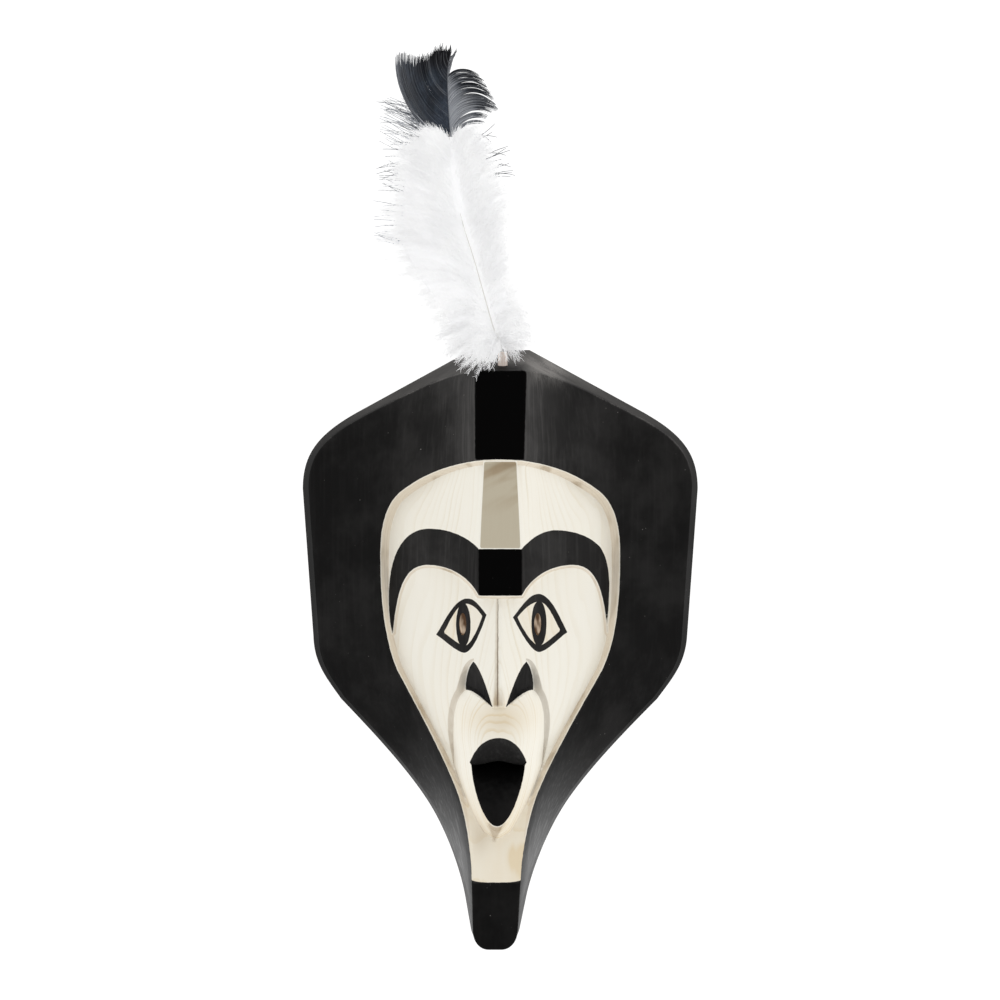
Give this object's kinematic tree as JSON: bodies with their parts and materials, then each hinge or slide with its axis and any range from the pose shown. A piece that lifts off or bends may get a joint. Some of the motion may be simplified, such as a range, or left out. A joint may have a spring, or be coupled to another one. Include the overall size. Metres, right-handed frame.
{
  "type": "wind mask",
  "caption": "Carved wooden wind mask with a pointed hood, painted brows, an open blowing mouth, and feathers standing in its crest.",
  "frame": {"origin": "on the flat back of the mask, behind the crest", "axes": "+X to the viewer's right, +Y up the mask from the chin to the feathers, +Z out of the face"},
  "size_m": [0.316, 0.707, 0.113],
  "materials": {
    "painted_wood": "carved wood, black satin paint on the hood and a whitewashed face with the grain showing",
    "pale_peg": "plain pale wood",
    "white_down": "soft white feather down",
    "dark_vane": "blue-black feather vane, soft sheen"
  },
  "bodies": {
    "root": {"mask_body": "painted_wood", "quill_peg": "pale_peg", "white_plume": "white_down", "dark_feather": "dark_vane"}
  },
  "joints": []
}
